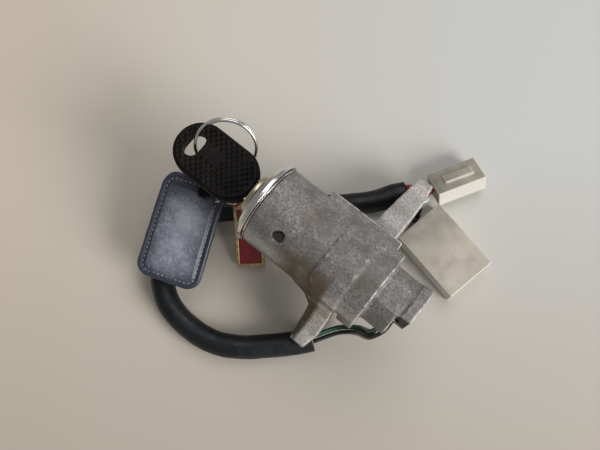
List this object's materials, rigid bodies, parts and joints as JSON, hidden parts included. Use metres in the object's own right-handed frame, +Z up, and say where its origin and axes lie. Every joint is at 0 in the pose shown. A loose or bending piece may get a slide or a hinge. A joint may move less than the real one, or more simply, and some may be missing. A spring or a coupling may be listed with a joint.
{
  "type": "ignition switch",
  "caption": "Steering-lock ignition switch: cast barrel with column saddle, key, split ring, leather fob, tag, sheathed harness and plugs; the key turns the switch and slides the bolt.",
  "frame": {"origin": "on the steering-column axis, midway between the two clamp bolt holes, in their parting plane", "axes": "+X along the lock barrel from the key to the rear, +Z up from the column to the barrel"},
  "size_m": [0.1262, 0.1382, 0.0607],
  "materials": {
    "cast_zinc": "rough sand-grained zinc casting",
    "chrome_ring": "bright nickel plate",
    "steel": "turned steel",
    "brass": "dull brass",
    "natural_nylon": "aged natural nylon",
    "black_plastic": "black moulded plastic",
    "wire_pvc": "PVC wire covering",
    "sheath_pvc": "soft black sleeve",
    "navy_leather": "stitched navy leather",
    "red_enamel": "red enamel"
  },
  "bodies": {
    "lock_body": {"lock_housing": "cast_zinc", "front_bezel": "chrome_ring", "cylinder_sleeve": "cast_zinc", "retaining_pin": "steel", "switch_base": "black_plastic", "fixed_contacts": "brass", "switch_wires": "wire_pvc", "harness_sheath": "sheath_pvc", "upper_wires": "wire_pvc", "lower_wires": "wire_pvc", "upper_connector": "natural_nylon", "lower_connector": "natural_nylon", "upper_terminals": "brass", "lower_terminals": "brass"},
    "key_cylinder": {"key_plug": "brass", "plug_cap": "brass", "wafers": "brass", "cam_shaft": "steel", "contact_rotor": "natural_nylon", "contact_bridge": "brass", "key_blade": "brass", "key_head": "black_plastic", "split_ring": "chrome_ring"},
    "steering_bolt": {"lock_bolt": "steel"},
    "fob": {"fob_link": "chrome_ring", "fob_strap": "navy_leather", "fob_leather": "navy_leather", "fob_rivet": "chrome_ring"},
    "tag": {"tag_link": "chrome_ring", "tag_strap": "red_enamel", "tag_frame": "brass", "tag_enamel": "red_enamel"}
  },
  "joints": [
    {"name": "key_turn", "type": "hinge", "parent": "lock_body", "child": "key_cylinder", "pos_m": [-0.0395, -0.0108, 0.033], "axis": [1, 0, 0], "range_deg": [-90, 30]},
    {"name": "bolt_slide", "type": "slide", "parent": "lock_body", "child": "steering_bolt", "axis": [0, 0.311, -0.9504], "range_m": [-0.0023, 0.0066]},
    {"name": "fob_hang", "type": "hinge", "parent": "key_cylinder", "child": "fob", "pos_m": [-0.06666, -0.0118, 0.02462], "axis": [1, 0, 0], "range_deg": [-31, 91]},
    {"name": "tag_hang", "type": "hinge", "parent": "key_cylinder", "child": "tag", "pos_m": [-0.06666, -0.0118, 0.02462], "axis": [1, 0, 0], "range_deg": [-31, 91]}
  ],
  "couplings": [
    {"joint": "bolt_slide", "follows": "key_turn", "m_per_rad": -0.004135},
    {"joint": "fob_hang", "follows": "key_turn", "ratio": -1},
    {"joint": "tag_hang", "follows": "key_turn", "ratio": -1}
  ]
}
